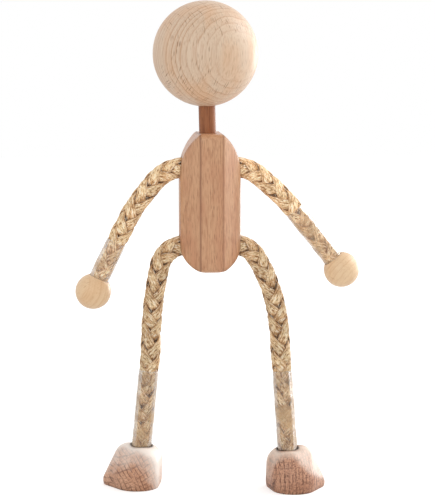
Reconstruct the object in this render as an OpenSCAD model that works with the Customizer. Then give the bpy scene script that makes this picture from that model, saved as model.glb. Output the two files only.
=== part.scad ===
// Peg wooden doll: a ball head on a dowel, a faceted bar torso and four limbs of wire-cored rope.
// Millimetres, +Z up, the doll faces -Y and its own left side is towards +X. The floor is Z = 0.

/* [Torso] */
// Width of the bar across its flats
torso_w = 28.8; // [26:0.2:36]
// Height of the bar
torso_h = 65.5; // [56:1:90]
// Width that the chamfer takes from each side
torso_chamfer = 9; // [5:0.5:10]
// Rounding of the eight long edges
torso_edge_r = 1.2; // [0.4:0.2:2]
// Rounding of the front and back rims at both ends
torso_rim_r = 3; // [0.5:0.25:4]
// Width of the flat top
torso_top_w = 10.8; // [9:0.5:14]
// Radius of the shoulder arcs
shoulder_r = 25; // [16:1:30]
// Width of the flat underside
torso_base_w = 3.2; // [2:0.2:8]

/* [Head and neck] */
// Diameter of the head ball
head_d = 50; // [30:1:60]
// Diameter of the neck dowel
neck_d = 8; // [5:0.5:8]
// Length of dowel that shows between torso and head
neck_len = 12.6; // [6:0.2:25]
// Length of dowel inside each blind bore
neck_seat = 10; // [6:0.5:12]
// How far the neck bore is drilled off the middle, to the doll's right
neck_offset = 0.9; // [0:0.1:1.5]
// Lean of the neck to the doll's right, in degrees
neck_lean = 1.5; // [0:0.5:4]
// Chamfer on both ends of the dowel
dowel_chamfer = 0.6; // [0.2:0.1:1]

/* [Rope] */
// Diameter of the rope
rope_d = 9.3; // [8:0.1:11]
// Diameter of the wire core
wire_d = 1.6; // [1:0.1:2.5]
// Thickness of the film shrunk on the rope's ends
film_t = 0.25; // [0.15:0.05:0.5]
// How far inside the torso's sides the ropes start to bend
bend_inset = 2.4; // [1:0.1:3]

/* [Arms] */
// Depth of the arm bore below the torso's top
arm_bore_drop = 16.4; // [14:0.2:22]
// Radius of the shoulder bends
shoulder_bend_r = 18.4; // [14:0.2:24]
// Bend of the right shoulder, in degrees
right_shoulder_turn = 51; // [20:1:70]
// Bend of the left shoulder, in degrees
left_shoulder_turn = 42; // [20:1:70]
// Length of rope between shoulder bend and elbow
upper_arm_len = 9; // [5:0.5:25]
// Length of rope that bends at the elbow
elbow_len = 12; // [11:0.5:16]
// Bend of the right elbow, in degrees
right_elbow_turn = 11; // [2:1:30]
// Bend of the left elbow, in degrees
left_elbow_turn = 8; // [2:1:30]
// Length of rope below the elbow, to its end inside the hand
forearm_len = 40; // [39:0.5:60]
// Bow of the right forearm, in degrees
right_forearm_bow = 4; // [0:0.5:10]
// Bow of the left forearm, in degrees
left_forearm_bow = 2.5; // [0:0.5:10]
// Length of film on the right arm
right_wrist_film_len = 27; // [12:0.5:38]
// Length of film on the left arm
left_wrist_film_len = 38; // [12:0.5:38]
// Diameter of the hand balls
hand_d = 17; // [16:0.5:24]
// How far the hand's blind bore runs past the ball's centre
hand_bore_past = 1; // [0:0.2:4]

/* [Legs] */
// Height of the leg bore above the floor
hip_z = 117.2; // [105:0.2:150]
// Height of the leg bore above the torso's underside
leg_bore_rise = 11.8; // [9:0.1:15]
// Radius of the hip bends
hip_bend_r = 12; // [9:0.5:15]
// Bend of the right hip, in degrees
right_hip_turn = 77.5; // [50:0.5:80]
// Bend of the left hip, in degrees
left_hip_turn = 59.5; // [50:0.5:80]
// Length of rope between hip bend and knee
thigh_len = 36; // [20:1:45]
// Bow of the right thigh, in degrees
right_thigh_bow = 11; // [0:1:14]
// Bow of the left thigh, in degrees
left_thigh_bow = 26; // [0:1:28]
// Length of rope that bends at the knee
knee_len = 12; // [11:0.5:16]
// Bend of the right knee, in degrees
right_knee_turn = -4; // [-6:0.5:5]
// Bend of the left knee, in degrees
left_knee_turn = 1; // [-6:0.5:5]
// Swing of the right leg to the back, in degrees
right_leg_swing = 2.3; // [-10:0.1:10]
// Swing of the left leg to the back, in degrees
left_leg_swing = -5.5; // [-10:0.1:10]
// Length of film on each leg
ankle_film_len = 50; // [20:1:52]

/* [Feet] */
// Reach of the foot on the inner side of its bore
foot_inner = 10; // [9.5:0.1:12]
// Reach of the foot on the outer side of its bore
foot_outer = 18.7; // [17:0.1:24]
// Reach of the foot in front of its bore
foot_front = 15.3; // [14:0.1:20]
// Reach of the foot behind its bore
foot_back = 11.8; // [10:0.1:16]
// Height of the foot
foot_h = 20.4; // [19.6:0.2:26]
// Height of the instep, in front of the bore
instep_h = 19.5; // [17:0.1:20]
// Radius of the round ball of the foot
ball_r = 11.2; // [9:0.1:12]
// Radius of the round heel
heel_r = 7.8; // [6:0.1:9]
// Radius of the round corners on top
instep_r = 8.3; // [6:0.1:9]
// Radius of the round corner on top towards the outer side
crown_r = 7; // [6:0.1:8]
// Radius of the outer tip
toe_r = 5.4; // [4:0.1:6]
// Height of the blind bore's floor, where the rope ends
ankle_floor = 7; // [5:0.5:9]

/* [Hidden] */
$fn = 96;
lobe_fn = 32;

// Radial gap of the turning dowel
turning_gap = 0.05;
// Radial gap of the ropes in the torso's cross bores
cross_bore_gap = 0.5;
// Radial gap of a filmed rope in a hand or a foot
seat_gap = 0.15;
// Radial gap round the wire and under the film
skin_gap = 0.05;
// Gap at the floor of each blind bore
end_gap = 0.2;
// Overrun of every cut
over = 1;

// The foot is a hull of balls, its lobes, planed flat below. These say how far some lie outwards from the bore,
// how far in front of it or behind it, and how high the lowest stand as a share of their radii
ball_out = 2.5;
crown_out = 6.2;
instep_front = 5;
arch_back = 1;
toe_back = 3.5;
crown_back = 2.5;
sole_share = 0.4;

torso_base_z = hip_z - leg_bore_rise;
torso_top_z = torso_base_z + torso_h;
arm_z = torso_top_z - arm_bore_drop;
seat_r = (torso_w - torso_base_w) / 2;
shoulder_in = shoulder_r - torso_w / 2;
shoulder_rise = sqrt(pow(shoulder_r, 2) - pow(shoulder_in + torso_top_w / 2, 2));
bend_x = torso_w / 2 - bend_inset;
cross_bore_d = rope_d + 2 * cross_bore_gap;
wire_hole_d = wire_d + 2 * skin_gap;
film_hole_d = rope_d + 2 * skin_gap;
film_d = film_hole_d + 2 * film_t;
seat_d = film_d + 2 * seat_gap;

// A pose on a limb's centreline is a point in the limb's plane and a heading in degrees below level
function forward(heading) = [cos(heading), -sin(heading)];
function inward(heading) = [-sin(heading), -cos(heading)];
function bend_radius(length, turn) = length * 180 / PI / turn;
function pose_after(pose, length, turn) = turn == 0
    ? [pose[0] + length * forward(pose[1]), pose[1]]
    : [pose[0] + bend_radius(length, turn) * (inward(pose[1]) - inward(pose[1] + turn)), pose[1] + turn];
function pose_at(stretches, count) = count == 0
    ? [[bend_x, 0], 0]
    : let (stretch = stretches[count - 1])
        pose_after(pose_at(stretches, count - 1), stretch[0], stretch[1]);
function bend_length(radius, turn) = radius * turn * PI / 180;

// A limb is its side, its bore's height, its swing, its stretches of rope, each a length and a turn, and its film
function limb_side(limb) = limb[0];
function limb_z(limb) = limb[1];
function limb_swing(limb) = limb[2];
function limb_stretches(limb) = limb[3];
function limb_film(limb) = limb[4];
function limb_end(limb) = pose_at(limb_stretches(limb), 4);

function arm(side, shoulder_turn, elbow_turn, bow, film) = [side, arm_z, 0, [
    [bend_length(shoulder_bend_r, shoulder_turn), shoulder_turn],
    [upper_arm_len, 0],
    [elbow_len, elbow_turn],
    [forearm_len, bow]
], film];

// The shin is as long as the way down to the floor of the foot's bore
function level_in_plane(z, swing) = (z - hip_z) / cos(swing);
function leg_above_shin(hip_turn, bow, knee_turn) = [
    [bend_length(hip_bend_r, hip_turn), hip_turn],
    [thigh_len, bow],
    [knee_len, knee_turn]
];
function shin(above, swing) = let (top = pose_at(above, 3))
    [(top[0][1] - level_in_plane(ankle_floor, swing)) / sin(top[1]), 0];
function leg(side, hip_turn, bow, knee_turn, swing) =
    let (above = leg_above_shin(hip_turn, bow, knee_turn))
        [side, hip_z, swing, concat(above, [shin(above, swing)]), ankle_film_len];

right_arm = arm("right", right_shoulder_turn, right_elbow_turn, right_forearm_bow, right_wrist_film_len);
left_arm = arm("left", left_shoulder_turn, left_elbow_turn, left_forearm_bow, left_wrist_film_len);
right_leg = leg("right", right_hip_turn, right_thigh_bow, right_knee_turn, right_leg_swing);
left_leg = leg("left", left_hip_turn, left_thigh_bow, left_knee_turn, left_leg_swing);

// The hands reach equally far to both sides of the origin
function hand_centre(limb) = limb_end(limb)[0] - hand_bore_past * forward(limb_end(limb)[1]);
torso_x = (hand_centre(right_arm)[0] - hand_centre(left_arm)[0]) / 2;

// Where a leg's centreline passes the top of its foot
function ankle(leg) = let (
    end = limb_end(leg),
    down = level_in_plane(foot_h, limb_swing(leg))
) [end[0][0] - (down - end[0][1]) / tan(end[1]), -down * sin(limb_swing(leg))];

// Each lobe is its middle outwards from the bore, behind it and above the sole, and its radius
foot_lobes = [
    [ball_out, ball_r - foot_front, sole_share * ball_r, ball_r],
    [heel_r - foot_inner, foot_back - heel_r, sole_share * heel_r, heel_r],
    [foot_outer - toe_r, toe_back, sole_share * toe_r, toe_r],
    [0, -instep_front, instep_h - instep_r, instep_r],
    [instep_r - foot_inner, arch_back, foot_h - instep_r, instep_r],
    [crown_out, crown_back, foot_h - crown_r, crown_r]
];

// A convex outline whose corners are true arcs of one radius
module rounded_outline(points, r) {
    count = len(points);
    corners = [for (i = [0:count - 1])
        let (
            corner = points[i],
            back = points[(i + count - 1) % count] - corner,
            ahead = points[(i + 1) % count] - corner,
            to_back = back / norm(back),
            to_ahead = ahead / norm(ahead),
            half_angle = acos(to_back * to_ahead) / 2,
            middle = (to_back + to_ahead) / norm(to_back + to_ahead),
            run = r / tan(half_angle)
        )
        [corner + run * to_back, corner + run * to_ahead, corner + r / sin(half_angle) * middle]
    ];
    polygon([for (corner = corners) each [corner[0], corner[1]]]);
    for (corner = corners) translate(corner[2]) circle(r);
}

module torso_plan() {
    side = torso_w / 2;
    flat = side - torso_chamfer;
    rounded_outline([
        [flat, -side], [side, -flat], [side, flat], [flat, side],
        [-flat, side], [-side, flat], [-side, -flat], [-flat, -side]
    ], torso_edge_r);
}

// Front view of the bar, with its underside on zero: two small arcs below, two large ones for the shoulders
module torso_front() {
    shoulder_z = torso_h - shoulder_rise;
    for (x = [-torso_base_w / 2, torso_base_w / 2]) translate([x, seat_r]) circle(seat_r);
    translate([-torso_base_w / 2, 0]) square([torso_base_w, seat_r]);
    translate([-torso_w / 2, seat_r]) square([torso_w, shoulder_z - seat_r]);
    intersection() {
        translate([-shoulder_in, shoulder_z]) circle(shoulder_r);
        translate([shoulder_in, shoulder_z]) circle(shoulder_r);
        translate([-torso_w / 2, shoulder_z]) square([torso_w, shoulder_rise]);
    }
}

module torso_side() {
    rounded_outline([
        [-torso_w / 2, 0], [torso_w / 2, 0], [torso_w / 2, torso_h], [-torso_w / 2, torso_h]
    ], torso_rim_r);
}

module on_torso() {
    translate([torso_x, 0, torso_base_z]) children();
}

// The neck's own axis, from the torso's top upwards
module on_neck() {
    translate([torso_x - neck_offset, 0, torso_top_z]) rotate([0, -neck_lean, 0]) children();
}

module cross_bore(z) {
    translate([torso_x, 0, z]) rotate([0, 90, 0]) cylinder(d = cross_bore_d, h = torso_w + 2 * over, center = true);
}

module torso() {
    color("rosybrown") difference() {
        on_torso() intersection() {
            linear_extrude(torso_h) torso_plan();
            rotate([90, 0, 0]) linear_extrude(torso_w + 2 * over, center = true) torso_front();
            rotate([90, 0, 90]) linear_extrude(torso_w + 2 * over, center = true) torso_side();
        }
        on_neck() translate([0, 0, -neck_seat - end_gap])
            cylinder(d = neck_d + 2 * turning_gap, h = neck_seat + end_gap + over);
        cross_bore(arm_z);
        cross_bore(hip_z);
    }
}

module neck_dowel() {
    r = neck_d / 2;
    low = -neck_seat;
    high = neck_len + neck_seat;
    color("saddlebrown") on_neck() rotate_extrude() polygon([
        [0, low], [r - dowel_chamfer, low], [r, low + dowel_chamfer],
        [r, high - dowel_chamfer], [r - dowel_chamfer, high], [0, high]
    ]);
}

module head_ball() {
    color("burlywood") on_neck() difference() {
        translate([0, 0, neck_len + head_d / 2]) sphere(d = head_d);
        translate([0, 0, neck_len - over])
            cylinder(d = neck_d + 2 * turning_gap, h = neck_seat + end_gap + over);
    }
}

module ring(outer_d, inner_d) {
    difference() {
        circle(d = outer_d);
        if (inner_d > 0) circle(d = inner_d);
    }
}

// The part of a rope or a wire between its two bends, through the torso
module middle(z, outer_d, inner_d) {
    translate([torso_x, 0, z]) rotate([0, 90, 0]) linear_extrude(2 * bend_x, center = true) ring(outer_d, inner_d);
}

module rope_middle(z) {
    color("tan") middle(z, rope_d, wire_hole_d);
}

module wire_middle(z) {
    color("silver") middle(z, wire_d, 0);
}

// A limb's plane, with X outwards from the torso's middle and the bore's axis at zero
module in_limb(limb) {
    translate([torso_x, 0, limb_z(limb)]) mirror([limb_side(limb) == "right" ? 1 : 0, 0, 0])
        rotate([limb_swing(limb), 0, 0]) children();
}

module at_pose(pose) {
    translate([pose[0][0], 0, pose[0][1]]) rotate([0, 90 + pose[1], 0]) children();
}

// A straight or evenly bent tube that starts at a pose
module stretch(pose, length, turn, outer_d, inner_d) {
    if (turn == 0) {
        at_pose(pose) linear_extrude(length) ring(outer_d, inner_d);
    } else {
        r = bend_radius(length, turn);
        centre = pose[0] + r * inward(pose[1]);
        first = turn > 0 ? 90 - pose[1] - turn : -90 - pose[1];
        translate([centre[0], 0, centre[1]]) rotate([90, 0, 0])
            rotate_extrude(angle = abs(turn), start = first) translate([abs(r), 0]) ring(outer_d, inner_d);
    }
}

module limb_stretch(limb, index, outer_d, inner_d) {
    this = limb_stretches(limb)[index];
    in_limb(limb) stretch(pose_at(limb_stretches(limb), index), this[0], this[1], outer_d, inner_d);
}

module limb_rope(limb, index) {
    color("tan") limb_stretch(limb, index, rope_d, wire_hole_d);
}

module limb_wire(limb, index) {
    color("silver") limb_stretch(limb, index, wire_d, 0);
}

// Film round the last stretch of a limb, up to the rope's end
module film(limb) {
    last = limb_stretches(limb)[3];
    share = 1 - limb_film(limb) / last[0];
    start = pose_after(pose_at(limb_stretches(limb), 3), share * last[0], share * last[1]);
    color("whitesmoke", 0.5) in_limb(limb)
        stretch(start, limb_film(limb), (1 - share) * last[1], film_d, film_hole_d);
}

// The blind bore round a limb's end, from its floor outwards
module end_bore(limb, depth) {
    in_limb(limb) at_pose(limb_end(limb)) translate([0, 0, -depth]) cylinder(d = seat_d, h = depth + end_gap);
}

module hand(limb) {
    color("wheat") difference() {
        in_limb(limb) at_pose(limb_end(limb)) translate([0, 0, -hand_bore_past]) sphere(d = hand_d);
        end_bore(limb, hand_d);
    }
}

module foot(limb) {
    color("peru") difference() {
        translate([torso_x, 0, 0]) mirror([limb_side(limb) == "right" ? 1 : 0, 0, 0])
            translate([ankle(limb)[0], ankle(limb)[1], 0]) intersection() {
                hull() for (lobe = foot_lobes)
                    translate([lobe[0], lobe[1], lobe[2]]) sphere(lobe[3], $fn = lobe_fn);
                translate([-foot_inner - over, -foot_front - over, 0])
                    cube([foot_inner + foot_outer + 2 * over, foot_front + foot_back + 2 * over, foot_h + over]);
            }
        end_bore(limb, foot_h);
    }
}

torso();
neck_dowel();
head_ball();
rope_middle(arm_z);  // arm_rope
wire_middle(arm_z);  // arm_wire
rope_middle(hip_z);  // leg_rope
wire_middle(hip_z);  // leg_wire

arm_names = ["shoulder", "upper_arm", "elbow", "forearm"];
for (limb = [right_arm, left_arm]) {
    side = limb_side(limb);
    for (i = [0:3]) {
        limb_rope(limb, i);
        limb_wire(limb, i);
    }
    film(limb);
    hand(limb);
}

leg_names = ["hip", "thigh", "knee", "shin"];
for (limb = [right_leg, left_leg]) {
    side = limb_side(limb);
    for (i = [0:3]) {
        limb_rope(limb, i);
        limb_wire(limb, i);
    }
    film(limb);
    foot(limb);
}
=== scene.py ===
from functools import partial
from math import cos, pi, radians, sin

import bpy
import numpy as np
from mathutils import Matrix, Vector


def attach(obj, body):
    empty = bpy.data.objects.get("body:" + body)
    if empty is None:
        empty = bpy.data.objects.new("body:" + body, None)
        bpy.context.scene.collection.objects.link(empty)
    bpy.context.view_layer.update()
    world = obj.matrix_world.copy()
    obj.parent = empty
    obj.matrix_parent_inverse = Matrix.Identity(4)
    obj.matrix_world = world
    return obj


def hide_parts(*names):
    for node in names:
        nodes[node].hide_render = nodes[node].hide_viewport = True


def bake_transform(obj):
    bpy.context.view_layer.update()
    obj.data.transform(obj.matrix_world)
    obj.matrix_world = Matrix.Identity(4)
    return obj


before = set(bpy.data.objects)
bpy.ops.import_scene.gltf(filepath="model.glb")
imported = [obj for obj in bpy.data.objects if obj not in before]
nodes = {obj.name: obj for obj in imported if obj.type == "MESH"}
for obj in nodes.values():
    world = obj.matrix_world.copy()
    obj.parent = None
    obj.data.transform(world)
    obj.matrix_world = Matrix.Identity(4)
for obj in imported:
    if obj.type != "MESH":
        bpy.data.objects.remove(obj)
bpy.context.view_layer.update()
mm = 0.001
print("frame loaded:", len(nodes), "nodes")

# The doll's route sizes in millimetres, the same as in its CAD source. Right and left are the doll's own,
# so right is -X.
doll = {
    "torsoX": -4.027,
    "boreEnd": 12.0,  # the rope is straight up to here from the torso's middle
    "armZ": 154.5,
    "hipZ": 117.2,
    "shoulderBend": 18.4,  # radii of the bends beside the torso
    "hipBend": 12.0,
    "tipGap": 1.6,  # rope and wire stop this far before the route's end, inside hand or foot
    "bendLead": 1.2,  # an elbow or knee blends from this far before its own stretch to as far behind it
}
armParts = ("shoulder", "upper_arm", "elbow", "forearm")
legParts = ("hip", "thigh", "knee", "shin")

# One dictionary for each limb: outward sign, bore height, swing of its plane in degrees, film length, the
# rope's tone, which is paler on the arms, its stretches as length and turn, and words of its nodes' names.
limbs = {
    "rightArm": {
        "out": -1, "z": doll["armZ"], "swing": 0.0, "film": 27.0, "tone": 1.6,
        "stretches": ((doll["shoulderBend"] * radians(51), 51), (9, 0), (12, 11), (40, 4)),
        "parts": armParts, "side": "right", "cuff": "wrist",
    },
    "leftArm": {
        "out": 1, "z": doll["armZ"], "swing": 0.0, "film": 38.0, "tone": 1.9,
        "stretches": ((doll["shoulderBend"] * radians(42), 42), (9, 0), (12, 8), (40, 2.5)),
        "parts": armParts, "side": "left", "cuff": "wrist",
    },
    "rightLeg": {
        "out": -1, "z": doll["hipZ"], "swing": 2.3, "film": 50.0, "tone": 0.6,
        "stretches": ((doll["hipBend"] * radians(77.5), 77.5), (36, 11), (12, -4), (53.48, 0)),
        "parts": legParts, "side": "right", "cuff": "ankle",
    },
    "leftLeg": {
        "out": 1, "z": doll["hipZ"], "swing": -5.5, "film": 50.0, "tone": 0.6,
        "stretches": ((doll["hipBend"] * radians(59.5), 59.5), (36, 26), (12, 1), (58.90, 0)),
        "parts": legParts, "side": "left", "cuff": "ankle",
    },
}


def sRGB(hexColour):
    # sRGB hex to linear: divided by 12.92 up to 0.04045, and a 2.4 power curve above it
    channel = np.array([int(hexColour[i:i + 2], 16) for i in (1, 3, 5)]) / 255
    linear = np.where(channel <= 0.04045, channel / 12.92, ((channel + 0.055) / 1.055) ** 2.4)
    return (*linear.tolist(), 1.0)


def grey(value):
    return (value, value, value, 1.0)


def addNode(tree, kind, inputs=(), stops=(), **settings):
    # Adds one node: settings on it, its inputs as values or as the socket they are linked to, where a node
    # stands for its first socket, and a colour ramp's stops
    node = tree.nodes.new(kind)
    for key, value in settings.items():
        setattr(node, key, value)
    for key, value in dict(inputs).items():
        if isinstance(value, bpy.types.Node):
            value = value.outputs[0]
        if isinstance(value, bpy.types.NodeSocket):
            tree.links.new(value, node.inputs[key])
        else:
            node.inputs[key].default_value = value
    if stops:
        ramp = node.color_ramp.elements
        while len(ramp) > 1:
            ramp.remove(ramp[-1])
        ramp[0].position = stops[0][0]
        ramp[0].color = stops[0][1]
        for position, colour in stops[1:]:
            ramp.new(position).color = colour
    return node


def startMaterial(name):
    # An empty material, and the function that adds a node to it
    material = bpy.data.materials.new(name)
    material.use_nodes = True
    material.node_tree.nodes.clear()
    return material, partial(addNode, material.node_tree)


# Turned, milled and sawn wood, in millimetres and degrees. pith is a point on the log's axis and lean the
# axis's tilt, so that rings and rays follow the log and not the piece, and reach is how far from the pith
# the piece lies. ring is a ring's width and ringWarp how far slow noise bends it. fleck is a ray's cell:
# along the ray, round the log, up it. sway and grain are the sizes of slow and fine noise across and along
# the grain. What ends in Fade says how strongly a mark shows, and flatFade takes the rings away where the
# face lies flat on them, as on a plank's broad side.
sawnBlock = {
    # What both feet share
    "sway": (16.0, 55.0), "grain": (0.6, 14.0), "fleckShare": 0.5, "flatFade": 0.0, "fleckFade": 0.5,
    "streakFade": 0.4, "wax": 0.5, "waxRoughness": 0.32, "roughness": 0.6, "bevel": 4.0,
}
woodLooks = {
    "beechTurnedBall": {
        # Pale steamed beech, turned and fine sanded: soft rings, thin dark ray flecks, waxed to a dull glow
        "pith": (-42.0, 48.0, 208.0), "lean": (0.0, 3.0, 0.0), "reach": 62.0, "ring": 2.3, "ringWarp": 4.5,
        "sway": (16.0, 55.0), "grain": (0.6, 14.0), "fleck": (9.0, 0.42, 5.0), "fleckShare": 1.0,
        "pale": "#e0c6ab", "late": "#b57d52", "dark": "#8a5f3c", "tint": "#e2b892",
        "ringFade": 1.0, "flatFade": 0.9, "fleckFade": 0.9, "streakFade": 0.3,
        "wax": 0.4, "waxRoughness": 0.34, "roughness": 0.5,
    },
    "beechMilledBar": {
        # Pinkish steamed beech, planed and lightly sanded: many short streaks along the bar, and a thin dark
        # line along each front arris. arris is the bar's middle, the arrises' distance from it and each one's
        # strength
        "pith": (30.0, 70.0, 100.0), "lean": (0.8, -0.6, 0.0), "reach": 78.0, "ring": 1.9, "ringWarp": 3.6,
        "sway": (11.0, 26.0), "grain": (0.55, 6.0), "fleck": (7.0, 0.5, 4.0), "fleckShare": 0.9,
        "pale": "#d3a179", "late": "#ab734e", "dark": "#8c5b3c", "tint": "#c78b66",
        "ringFade": 0.5, "flatFade": 0.2, "fleckFade": 0.6, "streakFade": 0.75,
        "wax": 0.6, "waxRoughness": 0.34, "roughness": 0.45,
        "bevel": 3.4, "arris": (doll["torsoX"], 5.4, 0.8, 0.5),
    },
    "beechDowel": {
        # Darker heartwood dowel, drawn through a die: straight streaks and a slight burnish
        "pith": (14.0, 22.0, 180.0), "lean": (1.0, -2.0, 0.0), "reach": 28.0, "ring": 1.7, "ringWarp": 2.1,
        "sway": (16.0, 55.0), "grain": (0.6, 14.0), "fleck": (5.0, 0.8, 4.0), "fleckShare": 0.6,
        "pale": "#a3673f", "late": "#7a4526", "dark": "#54301a", "tint": "#935732",
        "ringFade": 0.7, "flatFade": 0.2, "fleckFade": 0.7, "streakFade": 0.8,
        "wax": 0.1, "waxRoughness": 0.35, "roughness": 0.5,
    },
    "birchSmallBalls": {
        # The hands: sanded birch balls, more orange than the head and very smooth
        "pith": (0.0, 30.0, 60.0), "lean": (20.0, 35.0, 0.0), "reach": 60.0, "ring": 2.4, "ringWarp": 3.0,
        "sway": (16.0, 55.0), "grain": (0.6, 14.0), "fleck": (6.0, 0.7, 4.0), "fleckShare": 0.5,
        "pale": "#eecda4", "late": "#d2a070", "dark": "#a97a50", "tint": "#e5bb8d",
        "ringFade": 0.6, "flatFade": 0.5, "fleckFade": 0.5, "streakFade": 0.35,
        "wax": 0.6, "waxRoughness": 0.36, "roughness": 0.45,
    },
    "beechSawnBlockRight": {
        # The right foot: end grain to the front, dark and crossed by saw marks, and paler side grain above,
        # whose near-white side colour is also a painted highlight. saws are sets of saw marks, each as its
        # tilt, the step between its marks and its strength. grit is the dust's strength, and onset how soon a
        # face counts as end grain
        **sawnBlock, "bore": "rightLeg", "ringFade": 0.6, "fleck": (5.0, 0.8, 2.4),
        "pith": (-70.0, 0.0, -34.0), "lean": (101.0, 0.0, -32.0), "reach": 50.0, "ring": 1.9, "ringWarp": 1.8,
        "pale": "#dcab8a", "late": "#a5694a", "dark": "#6b3e28", "tint": "#c9926f", "side": "#fbf0e6",
        "saws": ((-24.0, 1.8, 1.0), (63.0, 2.3, 0.75)), "grit": 0.5, "onset": 0.5,
    },
    "beechSawnBlockLeft": {
        # The left foot, from the same batch: rings nearly upright on the front, and rougher sawing; its pale
        # side colour is also a painted highlight
        **sawnBlock, "bore": "leftLeg", "ringFade": 0.8, "fleck": (5.0, 0.8, 2.0),
        "pith": (140.0, 0.0, -10.0), "lean": (104.0, 0.0, -6.0), "reach": 108.0, "ring": 2.0, "ringWarp": 2.1,
        "pale": "#d3a081", "late": "#9c6145", "dark": "#5f3724", "tint": "#bd8463", "side": "#efdccb",
        "saws": ((2.0, 1.7, 1.0), (84.0, 2.6, 0.4)), "grit": 0.75, "onset": 0.2,
    },
}
ringDrift = 1.6  # how far a ring's place wanders with its distance from the pith, in millimetres
sawLean = 12.0  # how far all saw marks turn from the front, in degrees
sawBend = 1.3  # how far noise bends a saw mark, in steps between marks
# The painted shade in the gap between the rope and its bore fades out from inner to outer away from the
# rope's line, and sets in from floor to clear above the sole. back is how far before the rope's end its
# direction is read
boreShade = {"inner": 5.3, "outer": 5.9, "floor": 3.0, "clear": 4.0, "back": 10.0, "fade": 0.9,
          "colour": "#3b2416"}


def readLog(add, look):
    # The log that a piece was cut from: the place in millimetres from the pith with Z along the grain, the
    # distance and the direction away from the pith, and the face's normal in the log's own axes
    coordinates = add("ShaderNodeTexCoord")
    where = coordinates.outputs["Object"]
    normal = coordinates.outputs["Normal"]
    soft = None
    lean = [radians(x) for x in look["lean"]]
    place = add("ShaderNodeMapping", {
        "Vector": where, "Location": [x * mm for x in look["pith"]], "Rotation": lean,
        "Scale": (mm, mm, mm)}, vector_type="TEXTURE")
    if "bevel" in look:
        # Sanded arrises: the normals turn gently over each edge, so a lit edge shows as a soft band
        soft = add("ShaderNodeBevel", {"Radius": look["bevel"] * mm}, samples=8)
        normal = add("ShaderNodeVectorTransform", {
            "Vector": soft}, vector_type="NORMAL", convert_from="WORLD", convert_to="OBJECT")
    facing = add("ShaderNodeMapping", {"Vector": normal, "Rotation": lean}, vector_type="TEXTURE")
    level = add("ShaderNodeVectorMath", {0: place, 1: (1, 1, 0)}, operation="MULTIPLY")
    log = {
        "where": where, "place": place, "soft": soft, "facing": facing,
        "away": add("ShaderNodeVectorMath", {0: level}, operation="LENGTH").outputs["Value"],
        "outward": add("ShaderNodeVectorMath", {0: level}, operation="NORMALIZE"),
    }
    for key in ("sway", "grain"):
        across, along = look[key]
        log[key] = add("ShaderNodeVectorMath", {
            0: place, 1: (1 / across, 1 / across, 1 / along)}, operation="MULTIPLY")
    return log


def annualRings(add, look, log):
    # The distance from the pith, bent by slow noise, over the ring width: its fraction darkens towards 1,
    # each ring by a share of its own, and less where the face lies flat on the rings
    warp = add("ShaderNodeTexNoise", {"Vector": log["sway"], "Scale": 1.0, "Detail": 3.0})
    uneven = add("ShaderNodeTexNoise", {
        "W": log["away"], "Scale": 0.21, "Detail": 1.0}, noise_dimensions="1D")
    bent = add("ShaderNodeMath", {0: uneven, 1: ringDrift, 2: log["away"]}, operation="MULTIPLY_ADD")
    bent = add("ShaderNodeMath", {0: warp, 1: look["ringWarp"], 2: bent}, operation="MULTIPLY_ADD")
    rings = add("ShaderNodeMath", {0: bent, 1: look["ring"]}, operation="DIVIDE")
    fraction = add("ShaderNodeMath", {0: rings}, operation="FRACT")
    lateWood = add("ShaderNodeValToRGB", {0: fraction}, stops=(
        (0.0, grey(0.15)), (0.10, grey(0.0)), (0.42, grey(0.05)), (0.50, grey(0.30)), (0.56, grey(0.05)),
        (0.80, grey(0.35)), (0.93, grey(1.0)), (1.0, grey(0.2))))
    number = add("ShaderNodeMath", {0: rings}, operation="FLOOR")
    lot = add("ShaderNodeTexWhiteNoise", {"W": number}, noise_dimensions="1D").outputs["Value"]
    share = add("ShaderNodeMapRange", {
        "Value": lot, "To Min": look["ringFade"] * 0.35, "To Max": look["ringFade"]})
    flat = add("ShaderNodeVectorMath", {
        0: log["outward"], 1: log["facing"]}, operation="DOT_PRODUCT").outputs["Value"]
    flat = add("ShaderNodeMath", {0: flat}, operation="ABSOLUTE")
    plain = add("ShaderNodeMapRange", {
        "Value": flat, "From Min": 0.65, "From Max": 0.97,
        "To Min": 1.0, "To Max": 1 - look["flatFade"]})
    ringed = add("ShaderNodeMath", {0: lateWood, 1: share}, operation="MULTIPLY")
    return add("ShaderNodeMath", {0: ringed, 1: plain}, operation="MULTIPLY")


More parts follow.
